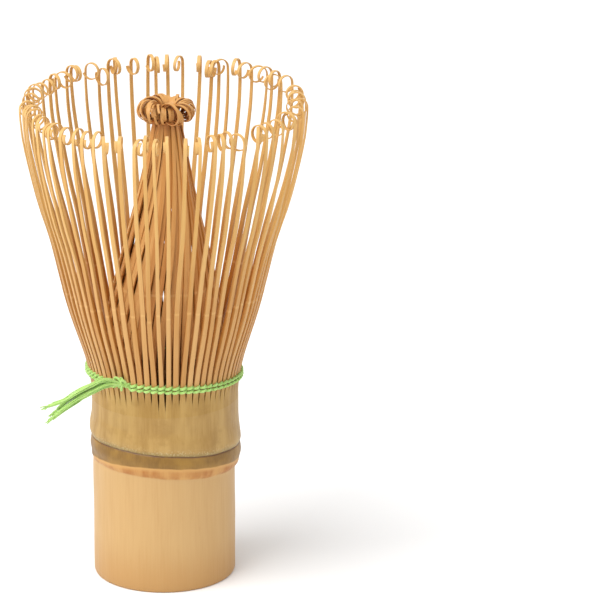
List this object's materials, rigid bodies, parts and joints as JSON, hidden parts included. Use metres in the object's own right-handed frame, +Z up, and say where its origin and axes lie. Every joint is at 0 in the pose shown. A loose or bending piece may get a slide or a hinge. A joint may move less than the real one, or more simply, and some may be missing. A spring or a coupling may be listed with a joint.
{
  "type": "bamboo tea whisk",
  "caption": "Whisk carved from one bamboo culm: a ring of flared outer tines with curled tips around an inner bundle, bound with thread above the handle's node.",
  "frame": {"origin": "centre of the handle's lower end, on the surface it stands on", "axes": "+Z up along the handle towards the tine tips; +X to the right and -Y towards the viewer, with the thread's knot at the front left"},
  "size_m": [0.06, 0.06, 0.1083],
  "materials": {
    "culm": "satin, scraped bamboo skin",
    "outer_tine": "satin, split and shaved bamboo",
    "inner_tine": "matt, split and shaved bamboo",
    "thread": "matt twisted cotton"
  },
  "bodies": {
    "handle": {"handle_culm": "culm", "inner_tines_01": "inner_tine", "inner_tines_02": "inner_tine", "inner_tines_03": "inner_tine", "inner_tines_04": "inner_tine", "inner_tines_05": "inner_tine", "inner_tines_06": "inner_tine", "inner_tines_07": "inner_tine", "inner_tines_08": "inner_tine", "thread_lower_row": "thread", "thread_upper_row": "thread", "thread_knot": "thread", "thread_tail_1": "thread", "thread_tail_2": "thread", "thread_tail_3": "thread", "thread_tail_4": "thread"},
    "outer_tines_01": {"outer_tines_01": "outer_tine"},
    "outer_tines_02": {"outer_tines_02": "outer_tine"},
    "outer_tines_03": {"outer_tines_03": "outer_tine"},
    "outer_tines_04": {"outer_tines_04": "outer_tine"},
    "outer_tines_05": {"outer_tines_05": "outer_tine"},
    "outer_tines_06": {"outer_tines_06": "outer_tine"},
    "outer_tines_07": {"outer_tines_07": "outer_tine"},
    "outer_tines_08": {"outer_tines_08": "outer_tine"},
    "outer_tines_09": {"outer_tines_09": "outer_tine"},
    "outer_tines_10": {"outer_tines_10": "outer_tine"},
    "outer_tines_11": {"outer_tines_11": "outer_tine"},
    "outer_tines_12": {"outer_tines_12": "outer_tine"},
    "outer_tines_13": {"outer_tines_13": "outer_tine"},
    "outer_tines_14": {"outer_tines_14": "outer_tine"},
    "outer_tines_15": {"outer_tines_15": "outer_tine"},
    "outer_tines_16": {"outer_tines_16": "outer_tine"},
    "outer_tines_17": {"outer_tines_17": "outer_tine"}
  },
  "joints": [
    {"name": "flex_01", "type": "hinge", "parent": "handle", "child": "outer_tines_01", "pos_m": [0.01465, 0.00274, 0.0437], "axis": [-0.1838, 0.983, 0], "range_deg": [-3.5, 4], "stiffness_Nm_per_rad": 0.02},
    {"name": "flex_02", "type": "hinge", "parent": "handle", "child": "outer_tines_02", "pos_m": [0.01267, 0.00784, 0.0437], "axis": [-0.5264, 0.8502, 0], "range_deg": [-3.5, 4], "stiffness_Nm_per_rad": 0.02},
    {"name": "flex_03", "type": "hinge", "parent": "handle", "child": "outer_tines_03", "pos_m": [0.00898, 0.01189, 0.0437], "axis": [-0.798, 0.6026, 0], "range_deg": [-3.5, 4], "stiffness_Nm_per_rad": 0.02},
    {"name": "flex_04", "type": "hinge", "parent": "handle", "child": "outer_tines_04", "pos_m": [0.00408, 0.01433, 0.0437], "axis": [-0.9618, 0.2737, 0], "range_deg": [-3.5, 4], "stiffness_Nm_per_rad": 0.02},
    {"name": "flex_05", "type": "hinge", "parent": "handle", "child": "outer_tines_05", "pos_m": [-0.00137, 0.01484, 0.0437], "axis": [-0.9957, -0.0923, 0], "range_deg": [-3.5, 4], "stiffness_Nm_per_rad": 0.02},
    {"name": "flex_06", "type": "hinge", "parent": "handle", "child": "outer_tines_06", "pos_m": [-0.00664, 0.01334, 0.0437], "axis": [-0.8952, -0.4457, 0], "range_deg": [-3.5, 4], "stiffness_Nm_per_rad": 0.02},
    {"name": "flex_07", "type": "hinge", "parent": "handle", "child": "outer_tines_07", "pos_m": [-0.01101, 0.01004, 0.0437], "axis": [-0.6737, -0.739, 0], "range_deg": [-3.5, 4], "stiffness_Nm_per_rad": 0.02},
    {"name": "flex_08", "type": "hinge", "parent": "handle", "child": "outer_tines_08", "pos_m": [-0.01389, 0.00538, 0.0437], "axis": [-0.3612, -0.9325, 0], "range_deg": [-3.5, 4], "stiffness_Nm_per_rad": 0.02},
    {"name": "flex_09", "type": "hinge", "parent": "handle", "child": "outer_tines_09", "pos_m": [-0.0149, 0, 0.0437], "axis": [0, -1, 0], "range_deg": [-3.5, 4], "stiffness_Nm_per_rad": 0.02},
    {"name": "flex_10", "type": "hinge", "parent": "handle", "child": "outer_tines_10", "pos_m": [-0.01389, -0.00538, 0.0437], "axis": [0.3612, -0.9325, 0], "range_deg": [-3.5, 4], "stiffness_Nm_per_rad": 0.02},
    {"name": "flex_11", "type": "hinge", "parent": "handle", "child": "outer_tines_11", "pos_m": [-0.01101, -0.01004, 0.0437], "axis": [0.6737, -0.739, 0], "range_deg": [-3.5, 4], "stiffness_Nm_per_rad": 0.02},
    {"name": "flex_12", "type": "hinge", "parent": "handle", "child": "outer_tines_12", "pos_m": [-0.00664, -0.01334, 0.0437], "axis": [0.8952, -0.4457, 0], "range_deg": [-3.5, 4], "stiffness_Nm_per_rad": 0.02},
    {"name": "flex_13", "type": "hinge", "parent": "handle", "child": "outer_tines_13", "pos_m": [-0.00137, -0.01484, 0.0437], "axis": [0.9957, -0.0923, 0], "range_deg": [-3.5, 4], "stiffness_Nm_per_rad": 0.02},
    {"name": "flex_14", "type": "hinge", "parent": "handle", "child": "outer_tines_14", "pos_m": [0.00408, -0.01433, 0.0437], "axis": [0.9618, 0.2737, 0], "range_deg": [-3.5, 4], "stiffness_Nm_per_rad": 0.02},
    {"name": "flex_15", "type": "hinge", "parent": "handle", "child": "outer_tines_15", "pos_m": [0.00898, -0.01189, 0.0437], "axis": [0.798, 0.6026, 0], "range_deg": [-3.5, 4], "stiffness_Nm_per_rad": 0.02},
    {"name": "flex_16", "type": "hinge", "parent": "handle", "child": "outer_tines_16", "pos_m": [0.01267, -0.00784, 0.0437], "axis": [0.5264, 0.8502, 0], "range_deg": [-3.5, 4], "stiffness_Nm_per_rad": 0.02},
    {"name": "flex_17", "type": "hinge", "parent": "handle", "child": "outer_tines_17", "pos_m": [0.01465, -0.00274, 0.0437], "axis": [0.1838, 0.983, 0], "range_deg": [-3.5, 4], "stiffness_Nm_per_rad": 0.02}
  ]
}
